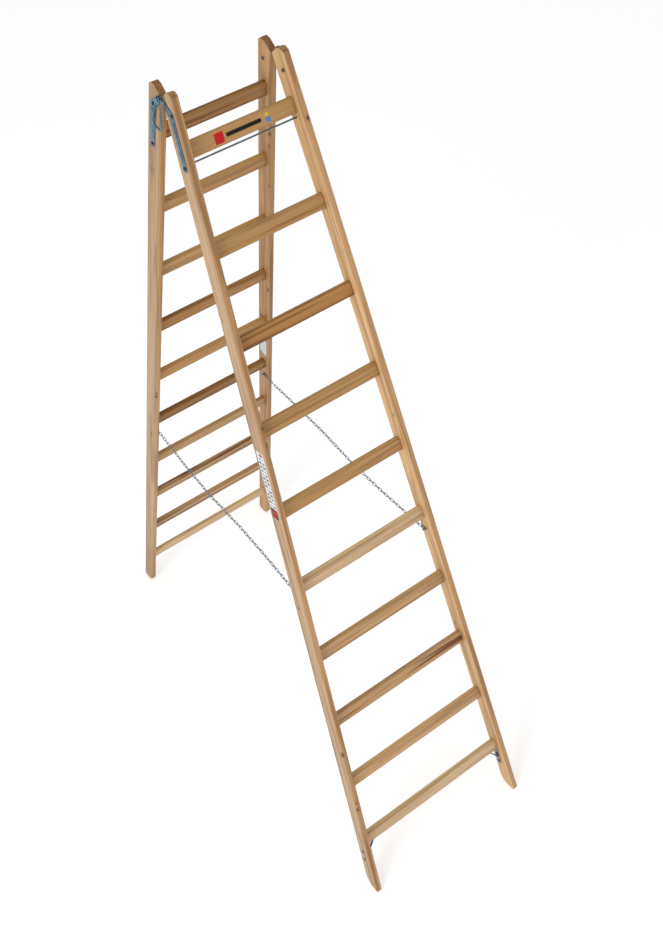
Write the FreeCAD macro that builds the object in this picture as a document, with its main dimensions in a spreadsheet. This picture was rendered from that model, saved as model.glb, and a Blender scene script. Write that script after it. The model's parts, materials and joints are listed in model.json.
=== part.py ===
import FreeCAD, Part, Sketcher
import math
import os

# Double-sided wooden step ladder: two ten-rung sections hinged at the top and held apart
# by two chains. Millimetres, +Z up. The origin is on the floor, midway between the feet.
# X runs across the ladder, -Y is the front (climbing) section and +Y the rear section.
# Inside a section, "down" is the distance below hinge level, measured down the section,
# and "depth" the distance outward from the face that looks at the other section.

Vector = FreeCAD.Vector
Rotation = FreeCAD.Rotation
Placement = FreeCAD.Placement
X_AXIS = Vector(1, 0, 0)
Y_AXIS = Vector(0, 1, 0)
Z_AXIS = Vector(0, 0, 1)

DIMENSIONS = (
    ("lean", 16.47, "lean of each section from the vertical, degrees"),
    ("splay", 3.09, "splay of each stile within its section, degrees"),
    ("gap", 3.0, "gap between the two sections at the hinge"),
    ("half_width", 175.5, "outside half width at hinge level"),
    ("stile_wide", 62.0, "stile section, front to back"),
    ("stile_thick", 20.0, "stile section, across"),
    ("stile_round", 3.0, "radius of the stile's long edges"),
    ("stile_reach", 2894.0, "hinge level to the foot's end"),
    ("stile_crown", 15.5, "top of the stile above hinge level"),
    ("heel_round", 45.0, "radius of the foot's inner corner"),
    ("toe_round", 6.0, "radius of the foot's outer corner"),
    ("sole_cut", 1.5, "depth of the level sole cut on the foot's inner corner"),
    ("rung_count", 10.0, "rungs in each section"),
    ("rung_first", 141.0, "hinge level to the first rung's centre"),
    ("rung_pitch", 280.0, "rung spacing"),
    ("rung_tall", 45.0, "rung section, height"),
    ("rung_thick", 20.0, "rung section, thickness"),
    ("rung_depth", 27.0, "depth of the rung's centre"),
    ("rung_round", 3.0, "radius of the rung's long edges"),
    ("tenon", 12.0, "length of the rung's end housed in the stile"),
    ("pin_rise", 1.0, "hinge pin above hinge level"),
    ("pin_radius", 4.0, "hinge pin"),
    ("eye_radius", 9.5, "hinge strap eye, outside"),
    ("eye_thick", 2.7, "hinge strap eye along the pin"),
    ("running", 0.1, "radial clearance of the turning eye on its pin"),
    ("strap_wide", 22.0, "hinge strap"),
    ("strap_thick", 2.5, "hinge strap"),
    ("strap_depth", 36.0, "depth of the strap's centre line"),
    ("strap_top", 44.0, "hinge level to the strap's upper bolt"),
    ("strap_end", 180.0, "hinge level to the strap's lower screw"),
    ("arm_wide", 13.0, "strap arm from the upper bolt to the eye"),
    ("rod_radius", 2.5, "tie rod"),
    ("rod_down", 176.0, "hinge level to the tie rod"),
    ("rod_depth", 27.0, "depth of the tie rod"),
    ("bracket_wide", 16.0, "corner bracket"),
    ("bracket_thick", 2.5, "corner bracket"),
    ("bracket_depth", 26.0, "depth of the bracket's centre line"),
    ("bracket_reach", 38.0, "bracket's leg under the front section's last rung"),
    ("bracket_drop", 80.0, "bracket's leg down the stile"),
    ("chain_down", 1615.0, "hinge level to the chain bolts"),
    ("chain_depth", 22.0, "depth of the chain bolts"),
    ("chain_sag", 12.0, "sag of the stretched chain at its middle"),
    ("chain_links", 30.0, "whole links from a chain bolt to the middle link"),
    ("chain_side", 4.3, "sideways set of each chain half near the middle"),
    ("link_wire", 2.6, "chain wire diameter"),
    ("link_wide", 10.0, "chain link, outside width"),
    ("hook_wire", 5.0, "bucket hook wire diameter"),
    ("hook_drop", 92.0, "pin centre to the middle of the hook's lowest wire"),
    ("hook_wide", 44.0, "bucket hook between wire centres, at its foot"),
)

doc = FreeCAD.newDocument("wooden_step_ladder")
sheet = doc.addObject("Spreadsheet::Sheet", "dims")
for row, (alias, value, note) in enumerate(DIMENSIONS, 1):
    sheet.set("A%d" % row, alias)
    sheet.set("B%d" % row, str(value))
    sheet.set("C%d" % row, note)
    sheet.setAlias("B%d" % row, alias)
doc.recompute()


def dim(alias):
    return float(getattr(sheet, alias))


LEAN = math.radians(dim("lean"))
SPLAY = math.radians(dim("splay"))
HALF_GAP = dim("gap") / 2
SECTION_TURN = {"front": 180.0, "rear": 0.0}
HANDS = {"left": -1, "right": 1}
kept = []


def hinge_height():
    """Height at which the foot's round heel, less the sole cut, just meets the floor."""
    straight = dim("stile_reach") - dim("heel_round")
    heel = dim("heel_round") * (1 - math.sin(LEAN))
    return straight * math.cos(LEAN) + heel - dim("sole_cut")


HINGE_HEIGHT = hinge_height()


def section_frame(section):
    """Placement of a section: local x across, y depth outward, z up along the section."""
    turn = Placement(Vector(), Rotation(Z_AXIS, SECTION_TURN[section]))
    stand = Placement(Vector(0, HALF_GAP, HINGE_HEIGHT), Rotation(X_AXIS, dim("lean")))
    return turn.multiply(stand)


def local_side(section, hand):
    """Sign of the section's own x axis on the ladder's left or right hand."""
    return HANDS[hand] if section == "rear" else -HANDS[hand]


def stile_frame(section, hand):
    """Placement of a stile's middle line: local z up along the stile, x across it."""
    side = local_side(section, hand)
    middle = dim("half_width") - dim("stile_thick") / 2 / math.cos(SPLAY)
    inner = Placement(Vector(side * middle, 0, 0), Rotation(Y_AXIS, -side * dim("splay")))
    return section_frame(section).multiply(inner)


def outer_half_width(down):
    return dim("half_width") + down * math.tan(SPLAY)


def inner_half_width(down):
    return outer_half_width(down) - dim("stile_thick") / math.cos(SPLAY)


def pin_point():
    """The hinge pin's centre in a section's own depth and height."""
    depth = -HALF_GAP * math.cos(LEAN) + dim("pin_rise") * math.sin(LEAN)
    height = HALF_GAP * math.sin(LEAN) + dim("pin_rise") * math.cos(LEAN)
    return depth, height


# ---------------------------------------------------------------- building helpers


def keep(shape_object, label):
    """Mark an object as a sub-part, written under this label."""
    shape_object.Label = label
    kept.append(shape_object)
    return shape_object


def primitive(kind, name, frame, sizes):
    """A Part primitive whose sizes are numbers or expressions on the sheet."""
    solid = doc.addObject("Part::" + kind, name)
    for size, value in sizes.items():
        solid.setExpression(size, str(value))
    solid.Placement = frame
    return solid


def outward_frame(place, start):
    """Frame whose z axis points outward across the ladder, start from the middle plane."""
    frame, side, depth, down = place
    spot = Placement(Vector(side * start, depth, -down), Rotation(Y_AXIS, 90 * side))
    return frame.multiply(spot)


def round_bar(name, place, near, far, radius):
    """Cylinder across the ladder; place is its frame, side, depth and distance down."""
    sizes = {"Radius": radius, "Height": far - near}
    return primitive("Cylinder", name, outward_frame(place, near), sizes)


def hex_bar(name, place, near, far, radius):
    sizes = {"Circumradius": radius, "Height": far - near}
    solid = primitive("Prism", name, outward_frame(place, near), sizes)
    solid.Polygon = 6
    return solid


def block(name, frame, side, across, depth, down):
    """Box between pairs of limits: outward across, in depth, and down the section."""
    low = min(side * across[0], side * across[1])
    corner = Placement(Vector(low, depth[0], -down[1]), Rotation())
    sizes = {
        "Length": across[1] - across[0],
        "Width": depth[1] - depth[0],
        "Height": down[1] - down[0],
    }
    return primitive("Box", name, frame.multiply(corner), sizes)


def fuse(name, members):
    result = doc.addObject("Part::MultiFuse", name)
    result.Shapes = members
    return result


def group(name, members):
    """Several separate solids in one object."""
    result = doc.addObject("Part::Compound", name)
    result.Links = members
    return result


def cut(name, base, tool):
    result = doc.addObject("Part::Cut", name)
    result.Base = base
    result.Tool = tool
    return result


def keep_group(name, members):
    return keep(group(name, members), name)


def sketch_on_side(body, name):
    """Sketch on the body's side plane: its x is depth and its y runs up."""
    plane = next(item for item in body.Origin.OriginFeatures if item.Role == "YZ_Plane")
    sketch = body.newObject("Sketcher::SketchObject", name)
    sketch.AttachmentSupport = [(plane, "")]
    sketch.MapMode = "FlatFace"
    return sketch


def draw_rectangle(sketch, wide, tall):
    """Rectangle centred on the sketch's origin, its sizes bound to the sheet."""
    corners = [Vector(-1, -1, 0), Vector(1, -1, 0), Vector(1, 1, 0), Vector(-1, 1, 0)]
    for number, corner in enumerate(corners):
        sketch.addGeometry(Part.LineSegment(corner, corners[(number + 1) % 4]), False)
    for number in range(4):
        sketch.addConstraint(Sketcher.Constraint("Coincident", number, 2, (number + 1) % 4, 1))
        direction = "Vertical" if number % 2 else "Horizontal"
        sketch.addConstraint(Sketcher.Constraint(direction, number))
    sketch.addConstraint(Sketcher.Constraint("Symmetric", 0, 1, 1, 2, -1, 1))
    for name, expression, line, kind in (("wide", wide, 0, "DistanceX"), ("tall", tall, 1, "DistanceY")):
        index = sketch.addConstraint(Sketcher.Constraint(kind, line, 1, line, 2, 2.0))
        sketch.renameConstraint(index, name)
        sketch.setExpression("Constraints." + name, expression)


def long_edges(shape):
    """Names of the straight edges that run along a bar's greatest length."""
    longest = max(edge.Length for edge in shape.Edges)
    names = []
    for number, edge in enumerate(shape.Edges, 1):
        if edge.Length > 0.97 * longest:
            names.append("Edge%d" % number)
    return names


def rounded_bar(name, sketch, length, radius):
    """Pad a closed sketch both ways and round the bar's long edges."""
    body = sketch.getParentGeoFeatureGroup()
    pad = body.newObject("PartDesign::Pad", name + "_pad")
    pad.Profile = sketch
    pad.Midplane = True
    pad.setExpression("Length", length)
    doc.recompute()
    fillet = body.newObject("PartDesign::Fillet", name + "_fillet")
    fillet.Base = (pad, long_edges(pad.Shape))
    fillet.setExpression("Radius", radius)
    body.Tip = fillet
    return body


# ---------------------------------------------------------------- wooden pieces


def corner_arc(x, y, radius, side):
    """Quarter circle that rounds a lower corner; side is -1 at the heel and 1 at the toe."""
    centre = Vector(x - side * radius, y + radius, 0)
    along = Vector(side * radius, 0, 0)
    low = Vector(0, -radius, 0)
    middle = centre + (along + low) * math.sqrt(0.5)
    if side < 0:
        return Part.Arc(centre + along, middle, centre + low)
    return Part.Arc(centre + low, middle, centre + along)


def stile_blank(section, hand):
    """Planed stile before drilling: peaked top, and a foot with rounded corners."""
    name = "blank_%s_%s" % (section, hand)
    wide = dim("stile_wide")
    foot = -dim("stile_reach") / math.cos(SPLAY)
    heel = corner_arc(0, foot, dim("heel_round"), -1)
    toe = corner_arc(wide, foot, dim("toe_round"), 1)
    upper = [
        toe.EndPoint,
        Vector(wide, 0.2 * dim("stile_crown"), 0),
        Vector(0.79 * wide, dim("stile_crown"), 0),
        Vector(0.53 * wide, dim("stile_crown"), 0),
        Vector(0, 0, 0),
        heel.StartPoint,
    ]
    body = doc.addObject("PartDesign::Body", name)
    sketch = sketch_on_side(body, name + "_profile")
    sketch.addGeometry(heel, False)
    sketch.addGeometry(Part.LineSegment(heel.EndPoint, toe.StartPoint), False)
    sketch.addGeometry(toe, False)
    for start, end in zip(upper, upper[1:]):
        sketch.addGeometry(Part.LineSegment(start, end), False)
    rounded_bar(name, sketch, "dims.stile_thick", "dims.stile_round")
    body.Placement = stile_frame(section, hand)
    return body


def rung(section, number):
    """One flat rung, its full section housed in both stiles."""
    name = "rung_%s_%02d" % (section, number)
    down = dim("rung_first") + (number - 1) * dim("rung_pitch")
    body = doc.addObject("PartDesign::Body", name + "_bar")
    sketch = sketch_on_side(body, name + "_profile")
    draw_rectangle(sketch, "dims.rung_thick", "dims.rung_tall")
    row = "(dims.rung_first + %d * dims.rung_pitch)" % (number - 1)
    inside = "dims.half_width + %s * tan(dims.splay) - dims.stile_thick" % row
    rounded_bar(name, sketch, "2 * (%s + dims.tenon)" % inside, "dims.rung_round")
    spot = Placement(Vector(0, dim("rung_depth"), -down), Rotation())
    body.Placement = section_frame(section).multiply(spot)
    return body


# ---------------------------------------------------------------- hinge

BOLT_RADIUS = 3.0
HEX_RADIUS = 5.6
HEX_TALL = 4.0
THREAD_SPARE = 1.5
SCREW_RADIUS = 2.0
SCREW_HEAD_RADIUS = 5.0
SCREW_HEAD_TALL = 2.2
SCREW_LENGTH = 14.0
HOLE_LONG = 40.0
EYE_INNER = {"front": 0.8, "rear": 3.9}
ARM_OVERRUN = 1.7
SHOULDER = 10.0
JOGGLE_LIFT = 4.3
JOGGLE_START = 16.0
JOGGLE_REACH = 30.0
JOGGLE_LAP = 3.0
JOGGLE_INSET = 0.5
RIB_WIDE = 7.0
RIB_TALL = 2.4
RIB_END = 16.0
PIN_HEAD_START = {"left": 13.9, "right": 7.4}
PIN_HEAD_RADIUS = 7.0
PIN_HEAD_TALL = 2.2
RELIEF_RADIUS = 13.0
RELIEF_DEEP = 8.0


def pin_place(section, hand):
    depth, height = pin_point()
    return section_frame(section), local_side(section, hand), depth, -height


def strap_place(section, hand, down):
    return stile_frame(section, hand), local_side(section, hand), dim("strap_depth"), down


def arm_run():
    """Distance from the strap's upper bolt to the pin, and the arm's angle."""
    pin_depth, pin_height = pin_point()
    back = dim("strap_depth") - pin_depth
    rise = dim("strap_top") + pin_height
    return math.hypot(back, rise), math.degrees(math.atan2(back, rise))


def strap_plate(name, frame, side, reach):
    """Flat strap with a round lower end and an arm that reaches towards the pin."""
    half_wide = dim("strap_wide") / 2
    depth = dim("strap_depth")
    _, angle = arm_run()
    bolt = Vector(depth, -dim("strap_top"), 0)
    to_pin = Vector(-math.sin(math.radians(angle)), math.cos(math.radians(angle)), 0)
    across = Vector(to_pin.y, -to_pin.x, 0) * (dim("arm_wide") / 2)
    tip = bolt + to_pin * reach
    corners = [
        Vector(depth - half_wide, -dim("strap_end"), 0),
        Vector(depth - half_wide, -dim("strap_top") - SHOULDER, 0),
        tip - across,
        tip + across,
        Vector(depth + half_wide, -dim("strap_top") + SHOULDER / 2, 0),
        Vector(depth + half_wide, -dim("strap_end"), 0),
    ]
    body = doc.addObject("PartDesign::Body", name + "_plate")
    sketch = sketch_on_side(body, name + "_outline")
    for start, end in zip(corners, corners[1:]):
        sketch.addGeometry(Part.LineSegment(start, end), False)
    lowest = Vector(depth, -dim("strap_end") - half_wide, 0)
    sketch.addGeometry(Part.Arc(corners[-1], lowest, corners[0]), False)
    pad = body.newObject("PartDesign::Pad", name + "_pad")
    pad.Profile = sketch
    pad.Midplane = True
    pad.setExpression("Length", "dims.strap_thick")
    middle = side * (dim("stile_thick") + dim("strap_thick")) / 2
    body.Placement = frame.multiply(Placement(Vector(middle, 0, 0), Rotation()))
    return body


def lifted_arm(name, frame, side):
    """Stepped end of the rear strap's arm, which passes outside the front strap's eye."""
    run, angle = arm_run()
    corner = Vector(0, dim("strap_depth"), -dim("strap_top"))
    arm_frame = frame.multiply(Placement(corner, Rotation(X_AXIS, angle)))
    half_wide = dim("arm_wide") / 2
    face = dim("stile_thick") / 2
    top = face + JOGGLE_LIFT + dim("strap_thick")
    # Heights above the bolt are passed to the block as distances "down" below it.
    riser = block(
        name + "_riser", arm_frame, side,
        (face + JOGGLE_INSET, top - JOGGLE_INSET),
        (JOGGLE_INSET - half_wide, half_wide - JOGGLE_INSET),
        (JOGGLE_START - run, JOGGLE_REACH - run))
    end = block(
        name + "_end", arm_frame, side,
        (face + JOGGLE_LIFT, top),
        (-half_wide, half_wide),
        (-run - ARM_OVERRUN, JOGGLE_REACH - JOGGLE_LAP - run))
    return [riser, end]


def hinge_strap(section, hand):
    """Strap down the stile's outside, an arm to the pin and an eye round it."""
    name = "hinge_strap_%s_%s" % (section, hand)
    side = local_side(section, hand)
    frame = stile_frame(section, hand)
    face = dim("stile_thick") / 2
    depth = dim("strap_depth")
    run, _ = arm_run()
    if section == "front":
        members = [strap_plate(name, frame, side, run + ARM_OVERRUN)]
    else:
        members = [strap_plate(name, frame, side, run - JOGGLE_START)]
        members += lifted_arm(name, frame, side)
    # The rib pressed along the strap stands a little proud of its face.
    rib_start = face + dim("strap_thick") / 2
    rib = block(
        name + "_rib", frame, side,
        (rib_start, rib_start + RIB_TALL),
        (depth - RIB_WIDE / 2, depth + RIB_WIDE / 2),
        (dim("strap_top") + RIB_END, dim("strap_end") - RIB_END))
    eye_place = pin_place(section, hand)
    eye_start = dim("half_width") + EYE_INNER[section]
    eye = round_bar(name + "_eye", eye_place, eye_start, eye_start + dim("eye_thick"), "dims.eye_radius")
    solid = members[0]
    for member in members[1:] + [rib, eye]:
        grown = doc.addObject("Part::Fuse", member.Name + "_joined")
        grown.Base = solid
        grown.Tool = member
        solid = grown
    # The pin is riveted in the front eye and runs free in the rear one.
    pin_hole = "dims.pin_radius" if section == "front" else "dims.pin_radius + dims.running"
    top_place = strap_place(section, hand, dim("strap_top"))
    low_place = strap_place(section, hand, dim("strap_end"))
    holes = [
        round_bar(name + "_pin_hole", eye_place, eye_start - 10, eye_start + HOLE_LONG, pin_hole),
        round_bar(name + "_bolt_hole", top_place, 0, HOLE_LONG, BOLT_RADIUS),
        round_bar(name + "_screw_hole", low_place, 0, HOLE_LONG, SCREW_RADIUS),
    ]
    if section == "front":
        # The arm's underside is relieved round the pin, where the rear stile turns.
        relief_start = eye_start - RELIEF_DEEP
        holes.append(round_bar(name + "_relief", eye_place, relief_start, eye_start, RELIEF_RADIUS))
    return keep(cut(name, solid, fuse(name + "_holes", holes)), name)


def hinge_pin(hand):
    """Headed pin riveted in the front eye, running in the rear eye and the hook."""
    name = "hinge_pin_" + hand
    place = pin_place("front", hand)
    start = dim("half_width") + EYE_INNER["front"]
    head_start = dim("half_width") + PIN_HEAD_START[hand]
    shank = round_bar(name + "_shank", place, start, head_start, "dims.pin_radius")
    head = round_bar(name + "_head", place, head_start, head_start + PIN_HEAD_TALL, PIN_HEAD_RADIUS)
    return keep(fuse(name, [shank, head]), name)


def hinge_fasteners(section):
    """Upper through bolts, their nuts and the lower wood screws of one section."""
    face = dim("stile_thick") / 2
    outside = face + dim("strap_thick")
    nut_end = -face - HEX_TALL
    bolts = []
    nuts = []
    screws = []
    for hand in HANDS:
        tag = "%s_%s" % (section, hand)
        place = strap_place(section, hand, dim("strap_top"))
        shank = round_bar("bolt_shank_" + tag, place, nut_end - THREAD_SPARE, outside, BOLT_RADIUS)
        head = hex_bar("bolt_head_" + tag, place, outside, outside + HEX_TALL, HEX_RADIUS)
        bolt = fuse("bolt_" + tag, [shank, head])
        bolts.append(bolt)
        blank = hex_bar("nut_blank_" + tag, place, nut_end, -face, HEX_RADIUS)
        nuts.append(cut("nut_" + tag, blank, bolt))
        place = strap_place(section, hand, dim("strap_end"))
        head_end = outside + SCREW_HEAD_TALL
        shank = round_bar("screw_shank_" + tag, place, outside - SCREW_LENGTH, outside, SCREW_RADIUS)
        head = round_bar("screw_head_" + tag, place, outside, head_end, SCREW_HEAD_RADIUS)
        screws.append(fuse("screw_" + tag, [shank, head]))
    keep_group("hinge_bolts_" + section, bolts)
    keep_group("hinge_nuts_" + section, nuts)
    keep_group("strap_screws_" + section, screws)
    return bolts + screws


# ---------------------------------------------------------------- tie rod and brackets

SMALL_HEX_RADIUS = 4.6
SMALL_HEX_TALL = 3.2
RECESS_RADIUS = 5.4
RECESS_DEEP = 4.4
ROD_END = 0.6
ROD_FREE = 0.3
BRACKET_BOLT_RADIUS = 2.5
BRACKET_SCREW = 0.38


def recess(name, place, outer):
    """Tool that sinks a fastener's head or nut into a stile's outside."""
    return round_bar(name, place, outer - RECESS_DEEP, outer + RECESS_DEEP, RECESS_RADIUS)


def tie_rod(section):
    """Steel rod right across the section, and the two nuts that draw it tight."""
    down = dim("rod_down")
    outer = outer_half_width(down)
    places = {}
    for hand in HANDS:
        places[hand] = (section_frame(section), local_side(section, hand), dim("rod_depth"), down)
    reach = outer - ROD_END
    bar = round_bar("tie_rod", places["right"], -reach, reach, "dims.rod_radius")
    keep(bar, "tie_rod")
    hole = round_bar("tie_rod_hole", places["right"], -outer, outer, "dims.rod_radius + %g" % ROD_FREE)
    nuts = []
    tools = [hole]
    for hand in HANDS:
        nut_start = outer - RECESS_DEEP
        nut_end = nut_start + SMALL_HEX_TALL
        blank = hex_bar("rod_nut_blank_" + hand, places[hand], nut_start, nut_end, SMALL_HEX_RADIUS)
        nuts.append(cut("rod_nut_" + hand, blank, bar))
        tools.append(recess("rod_recess_" + hand, places[hand], outer))
    keep_group("tie_rod_nuts", nuts)
    return tools


BRACKET_BOLTS = (30.0, 70.0)
STRUT_TOP = 4.0
STRUT_FOOT = 50.0
STRUT_HALF_WIDE = 4.0


def bracket_strut(section, hand, under):
    """Slanting strut between a bracket's two legs."""
    side = local_side(section, hand)
    thick = dim("bracket_thick")
    start = inner_half_width(under) - dim("bracket_reach") + STRUT_TOP
    run = inner_half_width(under + STRUT_FOOT) - thick / 2 - start
    drop = STRUT_FOOT - thick / 2
    slant = Rotation(Y_AXIS, -side * math.degrees(math.atan2(run, drop)))
    top = Vector(side * start, dim("bracket_depth"), -under - thick / 2)
    return block(
        "bracket_strut_%s_%s" % (section, hand),
        section_frame(section).multiply(Placement(top, slant)), side,
        (-thick / 2, thick / 2), (-STRUT_HALF_WIDE, STRUT_HALF_WIDE), (0, math.hypot(run, drop)))


def corner_brackets(section):
    """Brackets under the last rung, each bolted through its stile and screwed to the rung."""
    under = dim("rung_first") + (dim("rung_count") - 1) * dim("rung_pitch") + dim("rung_tall") / 2
    thick = dim("bracket_thick")
    face = dim("stile_thick") / 2
    depth = dim("bracket_depth")
    width = (depth - dim("bracket_wide") / 2, depth + dim("bracket_wide") / 2)
    leg_start = (under + thick / 2) / math.cos(SPLAY)
    nut_end = -face - thick - SMALL_HEX_TALL
    brackets = []
    bolts = []
    nuts = []
    screws = []
    for hand in HANDS:
        side = local_side(section, hand)
        frame = stile_frame(section, hand)
        inner = inner_half_width(under)
        upper_leg = block(
            "bracket_upper_" + hand, section_frame(section), side,
            (inner - dim("bracket_reach"), inner), width, (under, under + thick))
        lower_leg = block(
            "bracket_lower_" + hand, frame, side,
            (-face - thick, -face), width, (leg_start, leg_start + dim("bracket_drop")))
        pair = []
        for number, down in enumerate(BRACKET_BOLTS, 1):
            tag = "%s_%d" % (hand, number)
            place = (frame, side, depth, leg_start + down)
            tip = nut_end - THREAD_SPARE
            shank = round_bar("bracket_shank_" + tag, place, tip, face, BRACKET_BOLT_RADIUS)
            head = hex_bar("bracket_head_" + tag, place, face, face + SMALL_HEX_TALL, SMALL_HEX_RADIUS)
            bolt = fuse("bracket_bolt_" + tag, [shank, head])
            blank = hex_bar("bracket_nut_blank_" + tag, place, nut_end, -face - thick, SMALL_HEX_RADIUS)
            nuts.append(cut("bracket_nut_" + tag, blank, bolt))
            pair.append(bolt)
        middle = side * (inner - BRACKET_SCREW * dim("bracket_reach"))
        lowest = Vector(middle, depth, -under - thick - SCREW_HEAD_TALL)
        screw_frame = section_frame(section).multiply(Placement(lowest, Rotation()))
        screw_sizes = {"Radius": SCREW_RADIUS, "Height": SCREW_LENGTH}
        head_sizes = {"Radius": SCREW_HEAD_RADIUS, "Height": SCREW_HEAD_TALL}
        screw = fuse("bracket_screw_" + hand, [
            primitive("Cylinder", "bracket_screw_shank_" + hand, screw_frame, screw_sizes),
            primitive("Cylinder", "bracket_screw_head_" + hand, screw_frame, head_sizes),
        ])
        strut = bracket_strut(section, hand, under)
        bent = fuse("bracket_blank_" + hand, [upper_leg, lower_leg, strut])
        fasteners = group("bracket_fasteners_" + hand, pair + [screw])
        brackets.append(cut("bracket_" + hand, bent, fasteners))
        bolts += pair
        screws.append(screw)
    keep_group("corner_brackets", brackets)
    keep_group("bracket_bolts", bolts)
    keep_group("bracket_nuts", nuts)
    keep_group("bracket_screws", screws)
    return bolts, screws


# ---------------------------------------------------------------- chains

CHAIN_BOLT_RADIUS = 2.0
CHAIN_BOLT_TIP = 6.5
CHAIN_NUT_RADIUS = 4.2
CHAIN_NUT_TALL = 3.5
CHAIN_INSET = 5.8
SPACER_RADIUS = 5.0
SPACER_INSET = 1.8
SPACER_FREE = 0.3
CHAIN_FIRST = 6.0
CHAIN_SET_RUN = 325.0
LINK_PLAY = 0.4
TWIST_LINKS = 7.0


def chain_plane():
    """Distance of the chain's first link from the ladder's middle plane."""
    return inner_half_width(dim("chain_down")) - CHAIN_INSET


def chain_bolts(section):
    """Bolts through the stiles that carry the chain, with a spacer and an end nut."""
    down = dim("chain_down")
    plane = chain_plane()
    outer = outer_half_width(down)
    inner = inner_half_width(down)
    tip = plane - CHAIN_BOLT_TIP
    head_start = outer - RECESS_DEEP
    head_end = head_start + SMALL_HEX_TALL
    nut_end = tip + 1 + CHAIN_NUT_TALL
    bolts = []
    spacers = []
    recesses = []
    for hand in HANDS:
        tag = "%s_%s" % (section, hand)
        place = (section_frame(section), local_side(section, hand), dim("chain_depth"), down)
        shank = round_bar("chain_shank_" + tag, place, tip, head_start, CHAIN_BOLT_RADIUS)
        head = hex_bar("chain_head_" + tag, place, head_start, head_end, SMALL_HEX_RADIUS)
        end = hex_bar("chain_end_" + tag, place, tip + 1, nut_end, CHAIN_NUT_RADIUS)
        bolt = fuse("chain_bolt_" + tag, [shank, head, end])
        bolts.append(bolt)
        tube_start = plane + SPACER_INSET
        tube = round_bar("spacer_blank_" + tag, place, tube_start, inner - SPACER_FREE, SPACER_RADIUS)
        spacers.append(cut("chain_spacer_" + tag, tube, bolt))
        recesses.append(recess("chain_recess_" + tag, place, outer))
    keep_group("chain_bolts_" + section, bolts)
    keep_group("chain_spacers_" + section, spacers)
    return bolts + recesses


def chain_link(inner_length):
    """One oval link lying in its own x-y plane, long way along x."""
    bend = (dim("link_wide") - dim("link_wire")) / 2
    straight = inner_length / 2 - bend + dim("link_wire") / 2
    corners = [
        Vector(straight, bend, 0),
        Vector(-straight, bend, 0),
        Vector(-straight, -bend, 0),
        Vector(straight, -bend, 0),
    ]
    top = Part.LineSegment(corners[0], corners[1])
    left = Part.Arc(corners[1], Vector(-straight - bend, 0, 0), corners[2])
    bottom = Part.LineSegment(corners[2], corners[3])
    right = Part.Arc(corners[3], Vector(straight + bend, 0, 0), corners[0])
    path = Part.Wire([piece.toShape() for piece in (top, left, bottom, right)])
    wire = Part.Wire([Part.makeCircle(dim("link_wire") / 2, corners[0], X_AXIS)])
    return path.makePipeShell([wire], True, False)


def smooth(value):
    value = min(max(value, 0.0), 1.0)
    return value * value * (3 - 2 * value)


def chain_half(section, hand):
    """Links from one chain bolt to the middle of the span, as separate solids."""
    name = "chain_%s_%s" % (hand, section)
    # The front half carries the middle link, which the two halves share.
    count = int(dim("chain_links")) + (1 if section == "front" else 0)
    # Level distance from a chain bolt to the plane between the two sections.
    half_span = HALF_GAP + dim("chain_depth") * math.cos(LEAN) + dim("chain_down") * math.sin(LEAN)
    bolt_height = HINGE_HEIGHT - dim("chain_down") * math.cos(LEAN) + dim("chain_depth") * math.sin(LEAN)
    pitch = (half_span - CHAIN_FIRST) / dim("chain_links")
    link = chain_link(pitch + LINK_PLAY)
    inward = 1 if section == "front" else -1
    links = []
    for number in range(count):
        reach = CHAIN_FIRST + number * pitch
        left = 1 - reach / half_span
        drop = dim("chain_sag") * (1 - left * left)
        slope = math.degrees(math.atan(2 * dim("chain_sag") / half_span * left))
        side_set = inward * dim("chain_side") * smooth(reach / CHAIN_SET_RUN)
        across = HANDS[hand] * (chain_plane() - side_set)
        spot = Vector(across, -inward * (half_span - reach), bolt_height - drop)
        # A link is twisted about its own length, dipped, then turned to point inward.
        twist = 90.0 * ((number + 1) % 2) + 45.0 * smooth(number / TWIST_LINKS)
        turned = Rotation(Z_AXIS, 90.0 * inward).multiply(Rotation(Y_AXIS, slope))
        placed = link.copy()
        placed.Placement = Placement(spot, turned.multiply(Rotation(X_AXIS, twist)))
        links.append(placed)
    half = doc.addObject("Part::Feature", name)
    half.Shape = Part.makeCompound(links)
    return keep(half, name)


# ---------------------------------------------------------------- bucket hook

HOOK_PLANE = 10.2
HOOK_CORNER = 12.0
HOOK_PLAY = 0.3


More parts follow.
